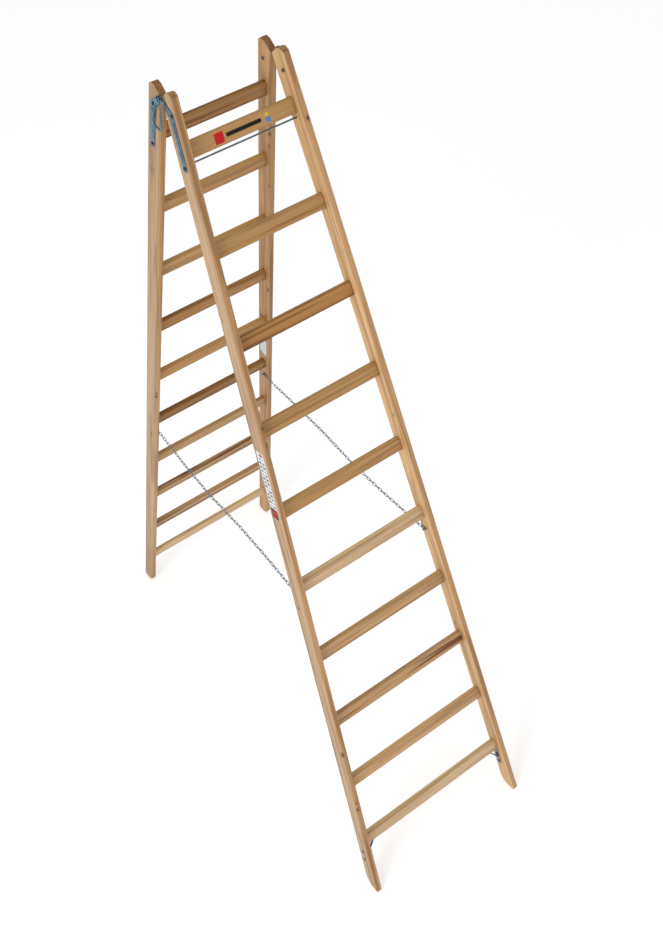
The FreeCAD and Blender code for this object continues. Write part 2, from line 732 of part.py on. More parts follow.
def bucket_hook():
    """Bent wire loop that hangs on the left hinge pin, beside the rear stile."""
    radius = dim("hook_wire") / 2
    top_bend = dim("pin_radius") + radius + HOOK_PLAY
    half = dim("hook_wide") / 2
    flare = math.atan2(half - top_bend, dim("hook_drop") - HOOK_CORNER)
    side = Vector(0, math.cos(flare), math.sin(flare))
    diagonal = Vector(0, math.sqrt(0.5), -math.sqrt(0.5))
    centre = Vector(0, half - HOOK_CORNER, HOOK_CORNER - dim("hook_drop"))
    leg_top = side * top_bend
    leg_end = centre + side * HOOK_CORNER
    bend_middle = centre + diagonal * HOOK_CORNER
    bend_end = centre - Z_AXIS * HOOK_CORNER

    def mirror(point):
        return Vector(point.x, -point.y, point.z)

    leg = Part.LineSegment(leg_top, leg_end)
    pieces = [
        leg,
        Part.Arc(leg_end, bend_middle, bend_end),
        Part.LineSegment(bend_end, mirror(bend_end)),
        Part.Arc(mirror(bend_end), mirror(bend_middle), mirror(leg_end)),
        Part.LineSegment(mirror(leg_end), mirror(leg_top)),
        Part.Arc(mirror(leg_top), Vector(0, 0, top_bend), leg_top),
    ]
    path = Part.Wire([piece.toShape() for piece in pieces])
    along = leg_end - leg_top
    wire = Part.Wire([Part.makeCircle(radius, leg_top, along)])
    hook = doc.addObject("Part::Feature", "bucket_hook")
    hook.Shape = path.makePipeShell([wire], True, False)
    pin_height = HINGE_HEIGHT + dim("pin_rise")
    hang = Rotation(X_AXIS, dim("lean")).multiply(Rotation(Y_AXIS, dim("splay")))
    hook.Placement = Placement(Vector(-dim("half_width") - HOOK_PLANE, 0, pin_height), hang)
    return keep(hook, "bucket_hook")


# ---------------------------------------------------------------- labels

LABEL_THICK = 0.3
LABEL_WIDE = 40.0
RUNG_LABEL_HALF = 85.0
RUNG_LABEL_TALL = 30.0


def stile_label(label, section, hand, inside, top, length):
    """Plain printed label on the flat of a stile."""
    side = local_side(section, hand) * (-1 if inside else 1)
    face = dim("stile_thick") / 2
    middle = dim("stile_wide") / 2
    film = block(
        label, stile_frame(section, hand), side,
        (face, face + LABEL_THICK),
        (middle - LABEL_WIDE / 2, middle + LABEL_WIDE / 2),
        (top, top + length))
    return keep(film, label)


def rung_label(label):
    """Plain label on the outer face of the front section's first rung."""
    face = dim("rung_depth") + dim("rung_thick") / 2
    middle = dim("rung_first")
    film = block(
        label, section_frame("front"), 1,
        (-RUNG_LABEL_HALF, RUNG_LABEL_HALF),
        (face, face + LABEL_THICK),
        (middle - RUNG_LABEL_TALL / 2, middle + RUNG_LABEL_TALL / 2))
    return keep(film, label)


# ---------------------------------------------------------------- the whole ladder

FLOOR_DEEP = 40.0
FLOOR_HALF_X = 400.0
FLOOR_HALF_Y = 1000.0

# Everything below the floor comes off the feet and leaves the level soles.
floor = block(
    "floor_block", Placement(), 1,
    (-FLOOR_HALF_X, FLOOR_HALF_X), (-FLOOR_HALF_Y, FLOOR_HALF_Y), (0, FLOOR_DEEP))

for section in SECTION_TURN:
    stile_tools = [floor] + hinge_fasteners(section) + chain_bolts(section)
    rung_tools = []
    if section == "front":
        bracket_bolts, rung_tools = corner_brackets(section)
        stile_tools += bracket_bolts + tie_rod(section)
    for number in range(1, int(dim("rung_count")) + 1):
        name = "rung_%s_%02d" % (section, number)
        bar = rung(section, number)
        stile_tools.append(bar)
        if rung_tools and number == dim("rung_count"):
            bar = cut(name, bar, group("rung_tools", rung_tools))
        keep(bar, name)
    for hand in HANDS:
        name = "stile_%s_%s" % (section, hand)
        tool = group("tools_%s_%s" % (section, hand), stile_tools)
        keep(cut(name, stile_blank(section, hand), tool), name)
        hinge_strap(section, hand)
        chain_half(section, hand)

for hand in HANDS:
    hinge_pin(hand)
bucket_hook()
stile_label("label_front_stile", "front", "left", False, 1040.0, 235.0)
stile_label("label_rear_stile", "rear", "right", True, 1386.0, 95.0)
rung_label("label_front_rung")

doc.recompute()

for item in doc.Objects:
    if "Invalid" in item.State or "Error" in item.State:
        raise SystemExit("%s failed: %s" % (item.Label, item.State))
for item in kept:
    if item.Shape.isNull() or not item.Shape.isValid():
        raise SystemExit("%s has no valid shape" % item.Label)

os.makedirs("parts", exist_ok=True)
for item in kept:
    item.Shape.exportStep("parts/%s.step" % item.Label)
    box = item.Shape.BoundBox
    print("%-28s %2d solid(s) %10.0f mm3  z %7.1f to %7.1f" % (
        item.Label, len(item.Shape.Solids), item.Shape.Volume, box.ZMin, box.ZMax))
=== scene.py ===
import bpy
import bmesh
import json
import math
from mathutils import Matrix, Vector


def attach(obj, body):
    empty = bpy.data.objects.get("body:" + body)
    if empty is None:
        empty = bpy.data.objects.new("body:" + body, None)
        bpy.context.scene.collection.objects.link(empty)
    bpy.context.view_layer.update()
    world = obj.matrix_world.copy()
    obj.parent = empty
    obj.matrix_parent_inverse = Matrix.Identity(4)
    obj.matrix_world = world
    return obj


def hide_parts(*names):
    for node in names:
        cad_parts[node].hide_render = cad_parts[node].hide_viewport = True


# A double-sided wooden step ladder: plain wood, zinc-plated fittings and chains.
# Metres, +Z up, origin on the floor midway between the feet, -Y the front section.

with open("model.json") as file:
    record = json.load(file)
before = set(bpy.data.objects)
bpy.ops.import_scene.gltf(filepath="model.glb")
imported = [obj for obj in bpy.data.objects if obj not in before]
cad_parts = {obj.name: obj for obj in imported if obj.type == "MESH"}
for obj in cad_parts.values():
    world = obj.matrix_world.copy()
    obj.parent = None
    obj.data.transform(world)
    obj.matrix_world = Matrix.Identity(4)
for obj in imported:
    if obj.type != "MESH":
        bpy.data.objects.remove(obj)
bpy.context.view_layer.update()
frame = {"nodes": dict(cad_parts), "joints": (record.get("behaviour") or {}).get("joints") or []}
NODES = frame["nodes"]
JOINTS = {joint["name"]: joint for joint in frame["joints"]}

# ------------------------------------------------------------------ the ladder's own measures

LEAN = math.radians(16.47)
SPLAY = math.radians(3.09)
HALF_GAP = 0.0015
HALF_WIDTH = 0.1755
STILE_THICK = 0.020
STILE_DEPTH = 0.062
# The hinge pins stand this far above the level that the sections are measured from.
PIN_RISE = 0.001
HINGE_HEIGHT = JOINTS["fold"]["pos_m"][2] - PIN_RISE
RUNG_FIRST = 0.141
RUNG_PITCH = 0.280
RUNG_DEPTH = 0.027
RUNG_HALF = 0.010
HANDS = {"left": -1, "right": 1}
TURN = {"front": math.pi, "rear": 0.0}


def section_frame(section):
    """From a section's own axes, x across, y outward and z up along it, to the ladder's."""
    turn = Matrix.Rotation(TURN[section], 4, "Z")
    stand = Matrix.Translation((0, HALF_GAP, HINGE_HEIGHT))
    return turn @ stand @ Matrix.Rotation(LEAN, 4, "X")


def local_side(section, hand):
    """Sign of a hand along a section's own x axis, which is turned round for the front."""
    return HANDS[hand] if section == "rear" else -HANDS[hand]


def stile_frame(section, hand):
    """The frame of a stile: x across its thickness, y its depth, z along it."""
    side = local_side(section, hand)
    middle = HALF_WIDTH - STILE_THICK / 2 / math.cos(SPLAY)
    splayed = Matrix.Rotation(-side * SPLAY, 4, "Y")
    return section_frame(section) @ Matrix.Translation((side * middle, 0, 0)) @ splayed


# ------------------------------------------------------------------ camera, floor and light

CAMERA_AZIMUTH = math.radians(-25.97)
CAMERA_ELEVATION = math.radians(40.69)
CAMERA_ROLL = math.radians(-9.69)
CAMERA_PLACE = Vector((-1.1577, -2.2239, 1.2564 + HINGE_HEIGHT))
CAMERA_SENSOR = 36.0
CAMERA_LENS = 41.4039
CAMERA_SHIFT = (0.09903, -0.13179)
CAMERA_REACH = 50.0
FLOOR_HALF = 30.0
FLOOR_COLOUR = (0.90, 0.90, 0.90, 1)
FLOOR_GLOW = 0.40
FLOOR_ROUGH = 0.9
FLOOR_SPECULAR = 0.1
WHITE = (1.0, 1.0, 1.0, 1)
SKY_STRENGTH = 0.62
LIGHT_SIZE = 3.0
# Soft lights: place, target, power and colour.
LIGHTS = {
    "key": ((-5.0, -2.2, 4.2), (0, 0, 1.3), 125, (1.0, 0.985, 0.96)),
    "front_fill": ((1.5, -6.0, 3.0), (0, 0, 1.2), 8, (1.0, 1.0, 1.0)),
}


def make_camera():
    back = Vector((math.sin(CAMERA_AZIMUTH) * math.cos(CAMERA_ELEVATION),
                   -math.cos(CAMERA_AZIMUTH) * math.cos(CAMERA_ELEVATION),
                   math.sin(CAMERA_ELEVATION)))
    level = Vector((math.cos(CAMERA_AZIMUTH), math.sin(CAMERA_AZIMUTH), 0))
    upright = back.cross(level)
    right = level * math.cos(CAMERA_ROLL) + upright * math.sin(CAMERA_ROLL)
    up = upright * math.cos(CAMERA_ROLL) - level * math.sin(CAMERA_ROLL)
    turned = Matrix((right, up, back)).transposed().to_4x4()
    data = bpy.data.cameras.new("camera")
    data.sensor_width = CAMERA_SENSOR
    data.lens = CAMERA_LENS
    data.shift_x, data.shift_y = CAMERA_SHIFT
    data.clip_end = CAMERA_REACH
    camera = bpy.data.objects.new("camera", data)
    camera.matrix_world = Matrix.Translation(CAMERA_PLACE) @ turned
    bpy.context.scene.collection.objects.link(camera)
    bpy.context.scene.camera = camera


def make_floor():
    mesh = bpy.data.meshes.new("floor")
    corners = [(x * FLOOR_HALF, y * FLOOR_HALF, 0) for x, y in ((-1, -1), (1, -1), (1, 1), (-1, 1))]
    mesh.from_pydata(corners, [], [(0, 1, 2, 3)])
    floor = bpy.data.objects.new("floor", mesh)
    bpy.context.scene.collection.objects.link(floor)
    material = bpy.data.materials.new("floor_paper")
    material.use_nodes = True
    shader = material.node_tree.nodes["Principled BSDF"]
    shader.inputs["Base Color"].default_value = FLOOR_COLOUR
    shader.inputs["Emission Color"].default_value = WHITE
    shader.inputs["Emission Strength"].default_value = FLOOR_GLOW
    shader.inputs["Roughness"].default_value = FLOOR_ROUGH
    shader.inputs["Specular IOR Level"].default_value = FLOOR_SPECULAR
    mesh.materials.append(material)


def make_lights():
    for name, (place, target, power, colour) in LIGHTS.items():
        data = bpy.data.lights.new(name, "AREA")
        data.shape = "DISK"
        data.size = LIGHT_SIZE
        data.energy = power
        data.color = colour
        light = bpy.data.objects.new(name, data)
        aim = (Vector(target) - Vector(place)).to_track_quat("-Z", "Y")
        light.matrix_world = Matrix.Translation(place) @ aim.to_matrix().to_4x4()
        bpy.context.scene.collection.objects.link(light)


def make_studio():
    world = bpy.data.worlds.new("studio")
    world.use_nodes = True
    sky = world.node_tree.nodes["Background"]
    sky.inputs["Color"].default_value = WHITE
    sky.inputs["Strength"].default_value = SKY_STRENGTH
    scene = bpy.context.scene
    scene.world = world
    scene.view_settings.view_transform = "Standard"
    scene.view_settings.look = "None"


# ------------------------------------------------------------------ node helpers

EDGE_SAMPLES = 4
NOOK_SAMPLES = 6
# How far the rounded normal turns from flat to edge, and how open a point is from free to nook.
EDGE_RANGE = (0.995, 0.80)
NOOK_RANGE = (0.75, 0.35)


def node(tree, kind, **settings):
    made = tree.nodes.new(kind)
    for name, value in settings.items():
        setattr(made, name, value)
    return made


def feed(tree, socket, value):
    """Connect an output to a socket, or set the socket's own value."""
    if isinstance(value, bpy.types.NodeSocket):
        tree.links.new(value, socket)
    else:
        socket.default_value = value


def maths(tree, operation, first, second=0.0, third=0.0, clamp=False):
    made = node(tree, "ShaderNodeMath", operation=operation, use_clamp=clamp)
    for socket, value in zip(made.inputs, (first, second, third)):
        feed(tree, socket, value)
    return made.outputs[0]


def vectors(tree, operation, first, second=(0, 0, 0)):
    made = node(tree, "ShaderNodeVectorMath", operation=operation)
    feed(tree, made.inputs[0], first)
    feed(tree, made.inputs[1], second)
    gives_number = operation in ("LENGTH", "DOT_PRODUCT")
    return made.outputs["Value" if gives_number else "Vector"]


def stretched_noise(tree, place, across, along, detail=2.0, rough=0.5, distortion=0.0):
    """Noise drawn out along the grain; across and along are features per metre."""
    made = node(tree, "ShaderNodeTexNoise")
    scaled = vectors(tree, "MULTIPLY", place, (across, across, along))
    feed(tree, made.inputs["Vector"], scaled)
    made.inputs["Scale"].default_value = 1.0
    made.inputs["Detail"].default_value = detail
    made.inputs["Roughness"].default_value = rough
    made.inputs["Distortion"].default_value = distortion
    return made


def spread(tree, value, low, high, to_low=0.0, to_high=1.0, smooth=False):
    """Map low..high to to_low..to_high, held at the ends."""
    kind = "SMOOTHSTEP" if smooth else "LINEAR"
    made = node(tree, "ShaderNodeMapRange", interpolation_type=kind)
    for socket, item in zip(made.inputs, (value, low, high, to_low, to_high)):
        feed(tree, socket, item)
    return made.outputs["Result"]


def add_scaled(tree, total, value, middle, amount):
    """Total plus the value's departure from its middle, times an amount."""
    return maths(tree, "MULTIPLY_ADD", maths(tree, "SUBTRACT", value, middle), amount, total)


def blend_colour(tree, factor, first, second, mode="MIX"):
    made = node(tree, "ShaderNodeMix", data_type="RGBA", blend_type=mode)
    feed(tree, made.inputs[0], factor)
    feed(tree, made.inputs[6], first)
    feed(tree, made.inputs[7], second)
    return made.outputs[2]


def shade(tree, colour, mask, amount, tint, mode="MULTIPLY"):
    """Lay a tint over a colour where the mask is near 1."""
    return blend_colour(tree, maths(tree, "MULTIPLY", mask, amount), colour, tint, mode)


def new_material(name):
    material = bpy.data.materials.new(name)
    material.use_nodes = True
    tree = material.node_tree
    return material, tree, tree.nodes["Principled BSDF"]


def add_bump(tree, shader, height, strength, distance, normal=None):
    bump = node(tree, "ShaderNodeBump")
    bump.inputs["Strength"].default_value = strength
    bump.inputs["Distance"].default_value = distance
    feed(tree, bump.inputs["Height"], height)
    if normal is not None:
        feed(tree, bump.inputs["Normal"], normal)
    feed(tree, shader.inputs["Normal"], bump.outputs["Normal"])


def edge_mask(tree, radius):
    """A mask near 1 on sharp edges and 0 on flats, and the normal rounded over the edges."""
    bevel = node(tree, "ShaderNodeBevel", samples=EDGE_SAMPLES)
    bevel.inputs["Radius"].default_value = radius
    geometry = node(tree, "ShaderNodeNewGeometry")
    facing = vectors(tree, "DOT_PRODUCT", bevel.outputs["Normal"], geometry.outputs["Normal"])
    return spread(tree, facing, *EDGE_RANGE), bevel.outputs["Normal"]


def nook_shade_mask(tree, reach):
    """Near 1 in the corners where parts meet, where shade falls; it marks painted shade."""
    shelter = node(tree, "ShaderNodeAmbientOcclusion", samples=NOOK_SAMPLES)
    shelter.inputs["Distance"].default_value = reach
    return spread(tree, shelter.outputs["AO"], *NOOK_RANGE)


def assign(name, material):
    mesh = NODES[name].data
    mesh.materials.clear()
    mesh.materials.append(material)


# ------------------------------------------------------------------ wood

RING_SPACING = 0.0034
PITH_DEPTH = 0.055
PITH_WANDER = (0.05, 0.05, 0)
# The pith's swing across and in depth from one seed to the next, and how fast it swings.
PITH_SWING = (0.05, 0.03)
SWING_RATE = (2.3, 1.7)
# How many rings the ripple and a knot push the lines aside.
RIPPLE_RINGS = 0.9
KNOT_RINGS = 1.5
LATEWOOD_RISE = (0.25, 0.92)
LATEWOOD_FALL = (1.0, 0.93)
WOOD_EDGE = 0.0022
WOOD_NOOK = 0.010
SEED_STEPS = (0.137, 0.311, 1.731)
# Noises in the wood: features per metre across and along the grain, then detail, roughness and
# distortion where they aren't the usual ones.
DRIFT = (2.0, 0.9, 1.0)
RIPPLE = (60, 1.6)
FIBRE = (650, 8, 3.0, 0.6)
STREAK = (85, 1.3, 3.0, 0.55, 0.3)
BROAD = (7, 0.8)
PORE = (900, 55, 1.0)
VEIN = (60, 1.9, 2.0, 0.5, 0.6)
# The stretch of a noise or a knot over which each mark comes up.
FLECK_RANGE = (0.66, 0.74)
VEIN_RANGE = (0.51, 0.60)
RIM_RANGE = (0.15, 0.55)
CORE_RANGE = (0.58, 0.78)
# The stretch of a surface's direction over which it counts as a side, an end, an underside or a top.
SIDE_RANGE = (0.55, 0.90)
END_RANGE = (0.55, 0.85)
UNDER_SHADE_RANGE = (-0.15, -0.60)
TOP_LIGHT_RANGE = (0.40, 0.90)
# How much each part of the grain deepens the tone.
BASE_TONE = 0.28
RING_TONE = 0.36
STREAK_TONE = 1.90
FIBRE_TONE = 0.95
BROAD_TONE = 1.00
FLECK_TONE = 0.22
# How strongly edge wear with painted highlight, end grain, painted shade on undersides and in
# corners, and knots change the colour.
WEAR_AND_HIGHLIGHT_SHARE = 0.40
END_SHARE = 0.65
UNDER_SHADE_SHARE = 0.75
NOOK_SHADE_SHARE = 0.75
RIM_SHARE = 0.6
CORE_SHARE = 0.9
WOOD_ROUGH = 0.42
WOOD_SPECULAR = 0.25
FIBRE_ROUGH = 0.22
FLECK_RELIEF = -0.6
RING_RELIEF = -0.35
KNOT_REACH = 2.2
KNOT_STRETCH = (1.0, 1.0, 0.62)
# Strength and height in metres of the surface relief.
WOOD_BUMP = (0.35, 0.0004)
KNOT_DARK = (0.050, 0.020, 0.008, 1)
KNOT_RIM = (0.200, 0.095, 0.038, 1)
# Paler edges: partly rubbed wear, partly painted highlight.
RUBBED_AND_HIGHLIGHT = (0.74, 0.58, 0.42, 1)
END_SHADE = (0.46, 0.32, 0.20, 1)
# Painted light that makes rung tops paler.
TOP_LIGHT_LIFT = (1.12, 1.16, 1.04, 1)
# Painted shade on rung undersides.
UNDER_SHADE = (0.46, 0.34, 0.25, 1)
VEIN_SHADE = (0.34, 0.20, 0.11, 1)
WOOD_INPUTS = (
    ("Place", "Vector"), ("Seed", "Float"), ("Knot", "Float"), ("End", "Float"),
    ("Under_shade", "Float"), ("Edge", "Float"), ("Nook_shade", "Float"), ("Vein", "Float"),
    ("Top_light", "Float"), ("Pale", "Color"), ("Deep", "Color"),
)
WOOD_OUTPUTS = (("Colour", "Color"), ("Roughness", "Float"), ("Relief", "Float"))


def growth_rings(tree, place, own, seed, knot):
    """Latewood lines about a wandering pith that lies outside the board."""
    drift = stretched_noise(tree, own, *DRIFT).outputs["Color"]
    centred = vectors(tree, "SUBTRACT", drift, (0.5, 0.5, 0.5))
    wander = vectors(tree, "MULTIPLY", centred, PITH_WANDER)
    pith = node(tree, "ShaderNodeCombineXYZ")
    swing = maths(tree, "SINE", maths(tree, "MULTIPLY", seed, SWING_RATE[0]))
    feed(tree, pith.inputs[0], maths(tree, "MULTIPLY", swing, PITH_SWING[0]))
    swing = maths(tree, "COSINE", maths(tree, "MULTIPLY", seed, SWING_RATE[1]))
    depth = maths(tree, "MULTIPLY_ADD", swing, PITH_SWING[1], PITH_DEPTH)
    feed(tree, pith.inputs[1], depth)
    flat = vectors(tree, "MULTIPLY", vectors(tree, "ADD", place, wander), (1, 1, 0))
    radius = vectors(tree, "LENGTH", vectors(tree, "SUBTRACT", flat, pith.outputs[0]))
    ripple = stretched_noise(tree, own, *RIPPLE).outputs[0]
    pushed = maths(tree, "MULTIPLY", knot, KNOT_RINGS)
    bent = maths(tree, "MULTIPLY_ADD", ripple, RIPPLE_RINGS, pushed)
    turn = maths(tree, "FRACT", maths(tree, "MULTIPLY_ADD", radius, 1 / RING_SPACING, bent))
    rise = spread(tree, turn, *LATEWOOD_RISE, smooth=True)
    fall = spread(tree, turn, *LATEWOOD_FALL, smooth=True)
    return maths(tree, "MULTIPLY", rise, fall)


def wood_group():
    """Solid wood in its own frame: z along the grain. Gives colour, roughness and relief."""
    tree = bpy.data.node_groups.new("wood", "ShaderNodeTree")
    for name, kind in WOOD_INPUTS:
        tree.interface.new_socket(name=name, in_out="INPUT", socket_type="NodeSocket" + kind)
    for name, kind in WOOD_OUTPUTS:
        tree.interface.new_socket(name=name, in_out="OUTPUT", socket_type="NodeSocket" + kind)
    come = node(tree, "NodeGroupInput").outputs
    go = node(tree, "NodeGroupOutput").inputs
    shift = node(tree, "ShaderNodeCombineXYZ")
    for axis, step in enumerate(SEED_STEPS):
        feed(tree, shift.inputs[axis], maths(tree, "MULTIPLY", come["Seed"], step))
    own = vectors(tree, "ADD", come["Place"], shift.outputs[0])
    knot = come["Knot"]
    ring = growth_rings(tree, come["Place"], own, come["Seed"], knot)
    fibre = stretched_noise(tree, own, *FIBRE).outputs[0]
    streak = stretched_noise(tree, own, *STREAK).outputs[0]
    broad = stretched_noise(tree, own, *BROAD).outputs[0]
    fleck = spread(tree, stretched_noise(tree, own, *PORE).outputs[0], *FLECK_RANGE)
    vein = stretched_noise(tree, own, *VEIN).outputs[0]
    tone = maths(tree, "MULTIPLY_ADD", ring, RING_TONE, BASE_TONE)
    tone = add_scaled(tree, tone, streak, 0.5, STREAK_TONE)
    tone = add_scaled(tree, tone, fibre, 0.5, FIBRE_TONE)
    tone = add_scaled(tree, tone, broad, 0.5, BROAD_TONE)
    tone = maths(tree, "MULTIPLY_ADD", fleck, FLECK_TONE, tone, clamp=True)
    colour = blend_colour(tree, tone, come["Pale"], come["Deep"])
    dark = spread(tree, vein, *VEIN_RANGE, smooth=True)
    colour = shade(tree, colour, dark, come["Vein"], VEIN_SHADE)
    # Edges are painted paler, partly rubbed wear and partly painted highlight; end grain drinks more
    # finish and is darker.
    worn_and_lit = maths(tree, "MULTIPLY", come["Edge"], maths(tree, "ADD", streak, 0.1))
    colour = shade(tree, colour, worn_and_lit, WEAR_AND_HIGHLIGHT_SHARE, RUBBED_AND_HIGHLIGHT, "MIX")
    # Painted light: rung tops are made paler.
    colour = blend_colour(tree, come["Top_light"], colour, TOP_LIGHT_LIFT, "MULTIPLY")
    colour = shade(tree, colour, come["End"], END_SHARE, END_SHADE)
    # Painted shade on the undersides of the rungs.
    colour = shade(tree, colour, come["Under_shade"], UNDER_SHADE_SHARE, UNDER_SHADE)
    # Painted shade: darker in the corners where a rung meets its stile.
    colour = shade(tree, colour, come["Nook_shade"], NOOK_SHADE_SHARE, END_SHADE)
    rim = spread(tree, knot, *RIM_RANGE, smooth=True)
    core = spread(tree, knot, *CORE_RANGE, smooth=True)
    colour = shade(tree, colour, rim, RIM_SHARE, KNOT_RIM, "MIX")
    colour = shade(tree, colour, core, CORE_SHARE, KNOT_DARK, "MIX")
    relief = maths(tree, "MULTIPLY_ADD", fleck, FLECK_RELIEF, fibre)
    feed(tree, go["Colour"], colour)
    feed(tree, go["Roughness"], maths(tree, "MULTIPLY_ADD", fibre, FIBRE_ROUGH, WOOD_ROUGH))
    feed(tree, go["Relief"], maths(tree, "MULTIPLY_ADD", ring, RING_RELIEF, relief))
    return tree


WOOD = wood_group()


def knot_mask(tree, place, knots):
    """Largest of several soft spots at (across, depth, up) in the piece's own frame."""
    total = None
    for x, y, z, size, weight in knots:
        offset = vectors(tree, "SUBTRACT", place, (x, y, z))
        stretched = vectors(tree, "MULTIPLY", offset, KNOT_STRETCH)
        distance = vectors(tree, "LENGTH", stretched)
        spot = spread(tree, distance, size * KNOT_REACH, 0.0, 0.0, weight)
        total = spot if total is None else maths(tree, "MAXIMUM", total, spot)
    return total


def local_place(tree, local):
    """The shaded point, and the parts of its surface direction, in a local frame."""
    inverse = local.inverted()
    turn = inverse.to_euler("XYZ")
    source = node(tree, "ShaderNodeTexCoord")
    place = node(tree, "ShaderNodeMapping", vector_type="POINT")
    feed(tree, place.inputs["Vector"], source.outputs["Object"])
    place.inputs["Location"].default_value = inverse.translation
    place.inputs["Rotation"].default_value = turn
    aim = node(tree, "ShaderNodeMapping", vector_type="VECTOR")
    feed(tree, aim.inputs["Vector"], source.outputs["Normal"])
    aim.inputs["Rotation"].default_value = turn
    parts = node(tree, "ShaderNodeSeparateXYZ")
    feed(tree, parts.inputs[0], aim.outputs["Vector"])
    return place.outputs["Vector"], parts.outputs


def feed_tint(tree, group, facing, tint, side_tint):
    """Set the wood's pale and deep colours; the sides may have a tint of their own."""
    pale, deep = tint_pair(tint)
    if side_tint is not None:
        side = spread(tree, maths(tree, "ABSOLUTE", facing[0]), *SIDE_RANGE)
        side_pale, side_deep = tint_pair(side_tint)
        pale = blend_colour(tree, side, pale, side_pale)
        deep = blend_colour(tree, side, deep, side_deep)
    feed(tree, group.inputs["Pale"], pale)
    feed(tree, group.inputs["Deep"], deep)


def wood_material(name, local, seed, tint, vein, knots=(), side_tint=None, top_light=None):
    """Wood whose grain runs along the z axis of the given local frame."""
    material, tree, shader = new_material(name)
    place, facing = local_place(tree, local)
    group = node(tree, "ShaderNodeGroup", node_tree=WOOD)
    feed(tree, group.inputs["Place"], place)
    feed(tree, group.inputs["Seed"], seed)
    feed(tree, group.inputs["Vein"], vein)
    feed_tint(tree, group, facing, tint, side_tint)
    end = spread(tree, maths(tree, "ABSOLUTE", facing[2]), *END_RANGE)
    feed(tree, group.inputs["End"], end)
    feed(tree, group.inputs["Edge"], edge_mask(tree, WOOD_EDGE)[0])
    # Painted shade in the corners where parts meet.
    feed(tree, group.inputs["Nook_shade"], nook_shade_mask(tree, WOOD_NOOK))
    if top_light is not None:
        # Painted shade darkens a rung's underside, and painted light makes its top paler.
        feed(tree, group.inputs["Under_shade"], spread(tree, facing[1], *UNDER_SHADE_RANGE))
        feed(tree, group.inputs["Top_light"], spread(tree, facing[1], *TOP_LIGHT_RANGE, 0.0, top_light))
    if knots:
        feed(tree, group.inputs["Knot"], knot_mask(tree, place, knots))
    feed(tree, shader.inputs["Base Color"], group.outputs["Colour"])
    feed(tree, shader.inputs["Roughness"], group.outputs["Roughness"])
    shader.inputs["Specular IOR Level"].default_value = WOOD_SPECULAR
    add_bump(tree, shader, group.outputs["Relief"], *WOOD_BUMP)
    return material


# Middle tints of the wood, as linear colours.
TINTS = {
    "edge": (0.495, 0.284, 0.130),
    "side": (0.490, 0.320, 0.175),
    # A darker tint for the sides of the rear-left stile.
    "side_darker": (0.440, 0.285, 0.148),
    "side_sallow": (0.640, 0.405, 0.188),
    "edge_red": (0.385, 0.215, 0.090),
    "side_red": (0.465, 0.258, 0.106),
    "cream": (0.620, 0.430, 0.245),
    "pale": (0.510, 0.300, 0.136),
    "tan": (0.460, 0.256, 0.096),
    "orange": (0.415, 0.205, 0.060),
    "dusty": (0.420, 0.250, 0.112),
    "brown": (0.345, 0.172, 0.056),
    "umber": (0.280, 0.135, 0.034),
}
PALE_LIFT = (1.20, 1.24, 1.36)
DEEP_DROP = (0.74, 0.66, 0.54)
RUNG_TINTS = {
    "front": ("tan", "tan", "orange", "tan", "tan", "cream", "pale", "pale", "pale", "cream"),
    "rear": ("brown", "tan", "tan", "brown", "tan", "umber", "dusty", "dusty", "dusty", "cream"),
}
STILE_TINTS = {
    ("front", "left"): ("edge", "side"),
    ("front", "right"): ("edge", "side_sallow"),
    ("rear", "left"): ("edge", "side_darker"),
    ("rear", "right"): ("edge_red", "side_red"),
}
# Seeds make each board's grain its own.
STILE_SEED = 3.1
STILE_SEED_STEP = 4.7
RUNG_SEED_STEP = 11.3
REAR_SEED = 5.9
STILE_VEIN = 0.4
PLAIN_VEIN = 0.3
# A rung with stronger veins than this gets no painted light on its top.
DARK_VEIN = 0.75
# The rungs whose veins differ from the plain ones.
RUNG_VEINS = {
    ("front", 1): 0.4, ("front", 3): 0.6, ("front", 8): 1.0,
    ("rear", 1): 0.7, ("rear", 4): 0.5, ("rear", 6): 1.0, ("rear", 8): 1.0, ("rear", 9): 0.8,
}
# Knots on the stiles: on a side, with the depth from the inner face, or on an edge, with the
# distance right of its middle; then the distance down from the hinge, size and weight.
STILE_KNOTS = {
    ("front", "left"): (("edge", 0.0094, 0.955, 0.0070, 0.9), ("edge", 0.0090, 1.010, 0.0060, 0.8),
                        ("edge", -0.0087, 2.220, 0.0055, 1.0), ("edge", -0.0035, 2.480, 0.0050, 0.9),
                        ("edge", -0.0035, 2.450, 0.0040, 0.8), ("side", 0.020, 0.620, 0.0030, 0.7)),
    ("front", "right"): (("edge", 0.0020, 0.180, 0.0040, 1.0), ("side", 0.045, 1.150, 0.0035, 0.8),
                         ("side", 0.018, 2.050, 0.0045, 0.9)),
    ("rear", "left"): (("side", 0.038, 0.28, 0.0130, 0.5), ("edge", -0.006, 1.345, 0.0050, 1.0),
                       ("edge", -0.006, 1.325, 0.0035, 1.0), ("side", 0.020, 2.20, 0.0035, 0.8)),
    ("rear", "right"): (("side", 0.004, 0.300, 0.0048, 1.0), ("side", 0.006, 0.350, 0.0040, 0.9),
                        ("side", 0.003, 0.520, 0.0040, 0.9), ("side", 0.006, 1.050, 0.0060, 1.0),
                        ("side", 0.046, 1.250, 0.0050, 1.0)),
}


def tint_pair(name):
    """The pale earlywood and the deeper latewood of a tint."""
    middle = TINTS[name]
    pale = [min(value * lift, 1.0) for value, lift in zip(middle, PALE_LIFT)]
    deep = [value * drop for value, drop in zip(middle, DEEP_DROP)]
    return (*pale, 1), (*deep, 1)


